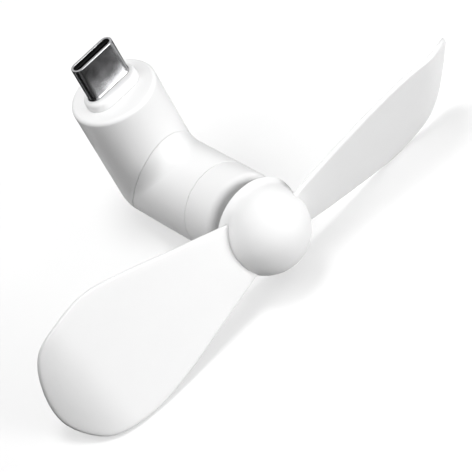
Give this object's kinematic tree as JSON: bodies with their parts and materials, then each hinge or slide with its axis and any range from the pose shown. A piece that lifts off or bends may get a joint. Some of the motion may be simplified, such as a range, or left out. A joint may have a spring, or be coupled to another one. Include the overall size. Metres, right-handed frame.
{
  "type": "phone fan",
  "caption": "White pocket fan that plugs into a phone: a plug body, a swivelling motor head and a soft two-blade rotor with a round hub.",
  "frame": {"origin": "middle of the underside of the box round the rest pose", "axes": "+Z out of the plug's mouth, -Y the way the fan faces and blows, +X across the plug's width"},
  "size_m": [0.087, 0.0416, 0.04],
  "materials": {
    "white_shell": "fine satin",
    "soft_white": "soft matt",
    "plug_steel": "bright nickel",
    "black_plastic": "matt",
    "contact_gold": "gold flash",
    "board_green": "solder mask",
    "bronze": "sintered",
    "bright_steel": "bright",
    "magnet_grey": "ferrite",
    "copper": "copper",
    "cream_plastic": "natural",
    "red_lead": "insulation",
    "black_lead": "insulation"
  },
  "bodies": {
    "plug_body": {"plug_shell": "plug_steel", "plug_insulator": "black_plastic", "latch_plate": "bright_steel", "contact_a5": "contact_gold", "contact_a9": "contact_gold", "contact_a12": "contact_gold", "contact_b5": "contact_gold", "contact_b9": "contact_gold", "contact_b12": "contact_gold", "plug_collar": "white_shell", "plug_housing": "white_shell", "plug_board": "board_green", "resistor_left": "black_plastic", "resistor_right": "black_plastic", "swivel_washer": "cream_plastic", "plug_lead_red": "red_lead", "plug_lead_black": "black_lead"},
    "head": {"head_housing": "white_shell", "front_cover": "white_shell", "swivel_rivet": "bright_steel", "swivel_retainer": "bright_steel", "motor_can": "bright_steel", "magnet_left": "magnet_grey", "magnet_right": "magnet_grey", "motor_end_cap": "cream_plastic", "front_bush": "bronze", "rear_bush": "bronze", "brush_positive": "copper", "brush_negative": "copper", "head_lead_red": "red_lead", "head_lead_black": "black_lead"},
    "rotor": {"motor_shaft": "bright_steel", "shaft_spacer": "cream_plastic", "rotor_core": "bright_steel", "winding_1": "copper", "winding_2": "copper", "winding_3": "copper", "commutator_sleeve": "cream_plastic", "commutator_segment_1": "copper", "commutator_segment_2": "copper", "commutator_segment_3": "copper", "hub_core": "white_shell", "hub_dome": "soft_white", "blade_left": "soft_white", "blade_right": "soft_white"}
  },
  "joints": [
    {"name": "head_swivel", "type": "hinge", "parent": "plug_body", "child": "head", "pos_m": [0, 0.01262, 0.01237], "axis": [0, -0.866, -0.5], "range_deg": [0, 180]},
    {"name": "fan_spin", "type": "hinge", "parent": "head", "child": "rotor", "pos_m": [0, 0.01349, 0.01287], "axis": [0, -1, 0], "continuous": true}
  ]
}
